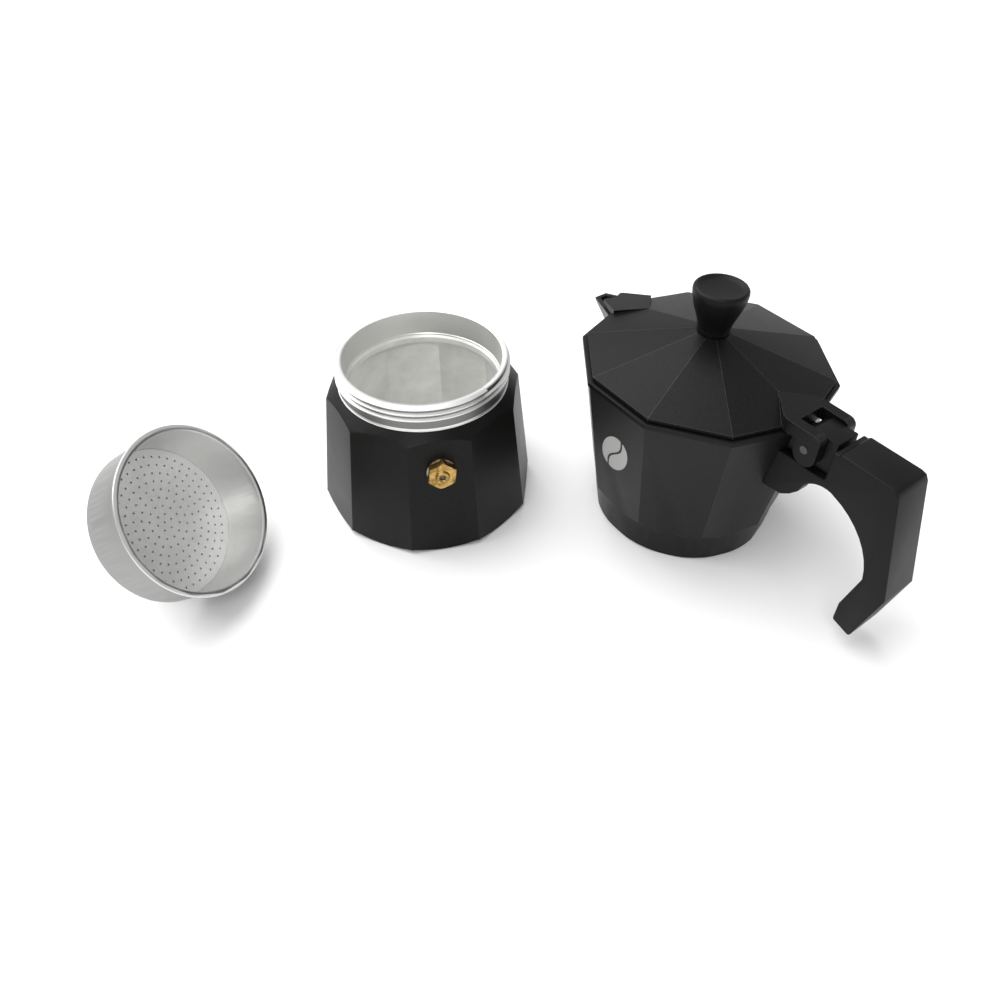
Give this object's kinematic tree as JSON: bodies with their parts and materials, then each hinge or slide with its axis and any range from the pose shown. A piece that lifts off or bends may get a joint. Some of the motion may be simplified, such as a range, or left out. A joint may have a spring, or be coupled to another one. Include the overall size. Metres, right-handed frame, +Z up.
{
  "type": "moka pot",
  "caption": "Ten-sided stovetop coffee maker in coated aluminium: boiler with safety valve, drop-in funnel, and collector with hinged lid, spout, handle and knob.",
  "frame": {"origin": "centre of the boiler's base, on the surface that all three groups stand on", "axes": "+Z up along the boiler's axis; the safety valve faces -Y; +X from the boiler towards the collector, -X towards the funnel"},
  "size_m": [0.2837, 0.1669, 0.1028],
  "materials": {
    "black_coat": "satin black powder coat on cast aluminium",
    "bare_aluminium": "satin, turned or spun",
    "valve_brass": "machined",
    "zinc_steel": "plated",
    "filter_steel": "perforated sheet",
    "handle_plastic": "matte moulded phenolic",
    "seal_rubber": "matte silicone"
  },
  "bodies": {
    "boiler": {"boiler_body": "black_coat", "valve_washer": "zinc_steel", "valve_body": "valve_brass", "valve_seat_ring": "valve_brass", "valve_spring": "zinc_steel"},
    "valve_plunger": {"valve_plunger": "zinc_steel"},
    "funnel": {"funnel_cup": "bare_aluminium", "funnel_stem": "bare_aluminium", "funnel_plate": "bare_aluminium"},
    "collector": {"collector_body": "black_coat", "outlet_column": "bare_aluminium", "column_cap": "bare_aluminium", "filter_plate": "filter_steel", "gasket": "seal_rubber", "handle": "handle_plastic", "handle_washer": "zinc_steel", "handle_screw": "zinc_steel"},
    "lid": {"lid": "black_coat", "hinge_pin": "zinc_steel", "knob": "handle_plastic", "knob_insert": "valve_brass", "knob_washer": "zinc_steel", "knob_screw": "zinc_steel"}
  },
  "joints": [
    {"name": "valve_plunger_slide", "type": "slide", "parent": "boiler", "child": "valve_plunger", "axis": [0, -0.9944, 0.1059], "range_m": [0, 0.0012], "stiffness_N_per_m": 400, "springref_m": -0.005, "deforming": ["valve_spring"]},
    {"name": "funnel_lift", "type": "slide", "parent": "boiler", "child": "funnel", "axis": [0, 0, 1], "range_m": [0, 0.08]},
    {"name": "collector_lift", "type": "slide", "parent": "boiler", "child": "collector", "axis": [0, 0, 1], "range_m": [0, 0.08]},
    {"name": "lid_hinge", "type": "hinge", "parent": "collector", "child": "lid", "pos_m": [0.12344, -0.08244, 0.0698], "axis": [0.9222, 0.3867, 0], "range_deg": [0, 93]}
  ]
}
